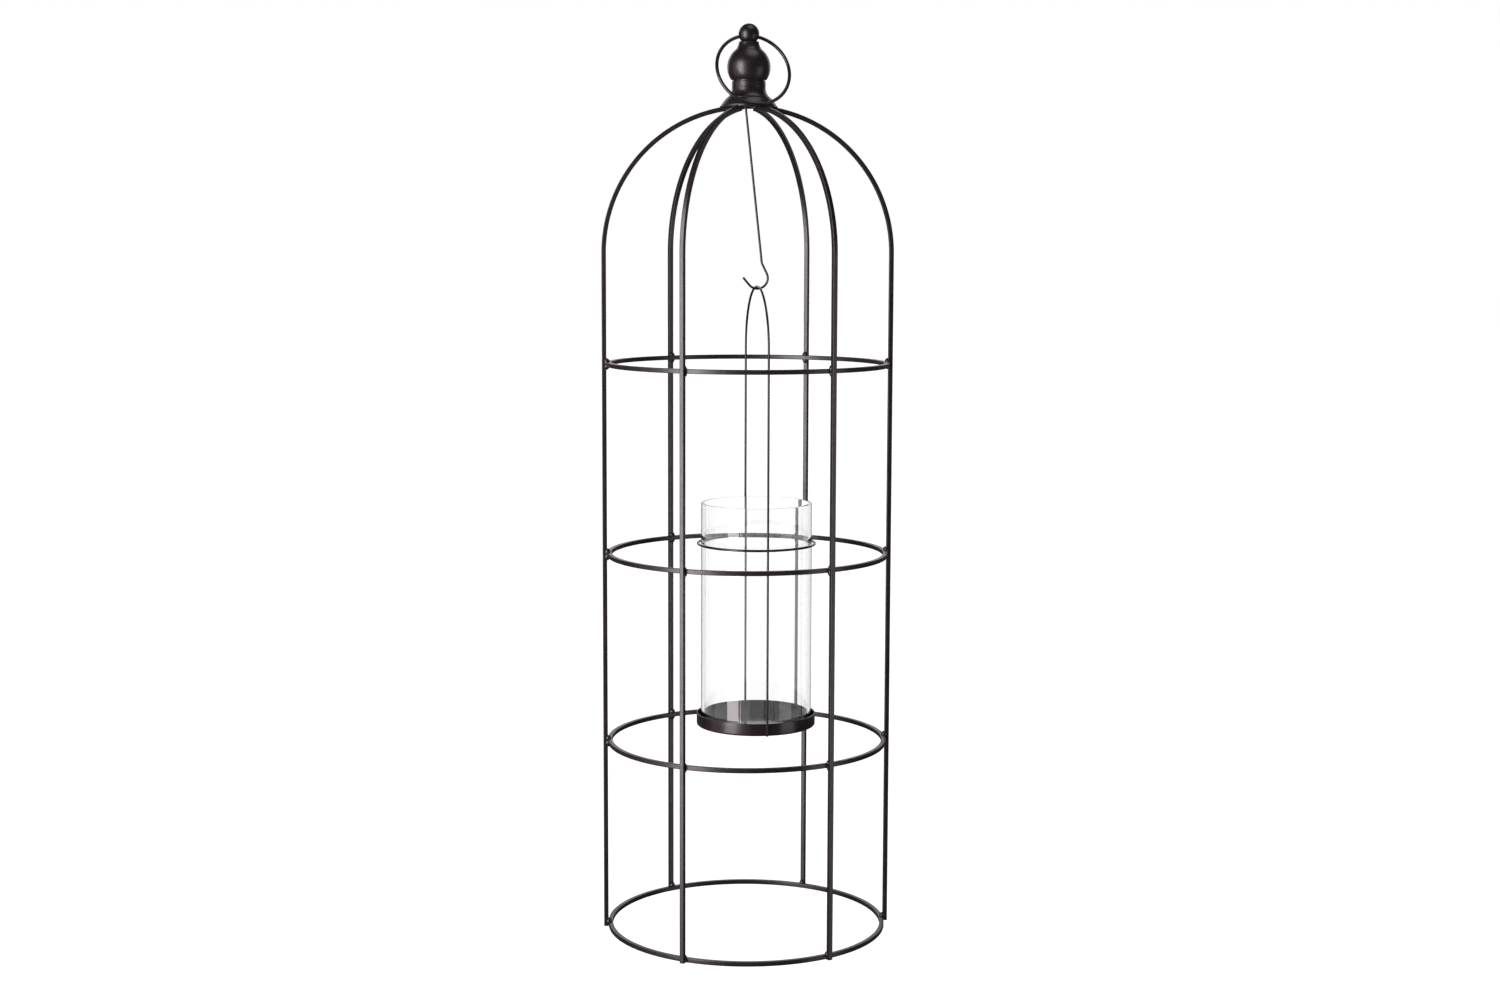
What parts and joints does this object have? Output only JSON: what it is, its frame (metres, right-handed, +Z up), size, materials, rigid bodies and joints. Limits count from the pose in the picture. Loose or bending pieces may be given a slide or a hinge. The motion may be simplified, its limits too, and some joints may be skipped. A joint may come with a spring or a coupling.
{
  "type": "hurricane candle lantern",
  "caption": "Birdcage-style metal lantern whose clear glass cylinder stands in a shallow tray hung from the domed crown by a hook rod and a wire bail, with a carry ring on top.",
  "frame": {"origin": "centre of the footprint, on the surface that the lantern stands on", "axes": "+Z up, the front faces -Y, +X to the right as seen from the front; two uprights lie on the X axis"},
  "size_m": [0.256, 0.2478, 0.7983],
  "materials": {
    "black_paint": "satin",
    "zinc_steel": "bright zinc",
    "clear_glass": "clear polished"
  },
  "bodies": {
    "cage": {"upright_right": "black_paint", "upright_back_right": "black_paint", "upright_back_left": "black_paint", "upright_left": "black_paint", "upright_front_left": "black_paint", "upright_front_right": "black_paint", "base_hoop": "black_paint", "lower_hoop": "black_paint", "middle_hoop": "black_paint", "upper_hoop": "black_paint", "crown_cap": "black_paint", "crown_skirt": "black_paint", "crown_bulb": "black_paint", "crown_collar": "black_paint", "crown_ball": "black_paint", "crown_bolt": "zinc_steel", "bolt_washer": "zinc_steel", "hanger_pin": "zinc_steel"},
    "ring": {"carry_ring": "black_paint"},
    "hook": {"hook_rod": "black_paint"},
    "holder": {"holder_bail": "black_paint", "guard_ring": "black_paint", "tray": "black_paint"},
    "glass": {"glass_cylinder": "clear_glass"}
  },
  "joints": [
    {"name": "carry_ring_flip", "type": "hinge", "parent": "cage", "child": "ring", "pos_m": [0, 0, 0.78725], "axis": [-0.9744, -0.225, 0], "range_deg": [0, 313]},
    {"name": "hook_swing", "type": "hinge", "parent": "cage", "child": "hook", "pos_m": [0.008, 0, 0.74103], "axis": [0, 1, 0], "range_deg": [-5, 5]},
    {"name": "holder_swing", "type": "hinge", "parent": "hook", "child": "holder", "pos_m": [0.008, 0, 0.57139], "axis": [0.9945, 0.1045, 0], "range_deg": [-7, 7]},
    {"name": "glass_lift", "type": "slide", "parent": "holder", "child": "glass", "axis": [0, 0, 1], "range_m": [0, 0.15]}
  ]
}
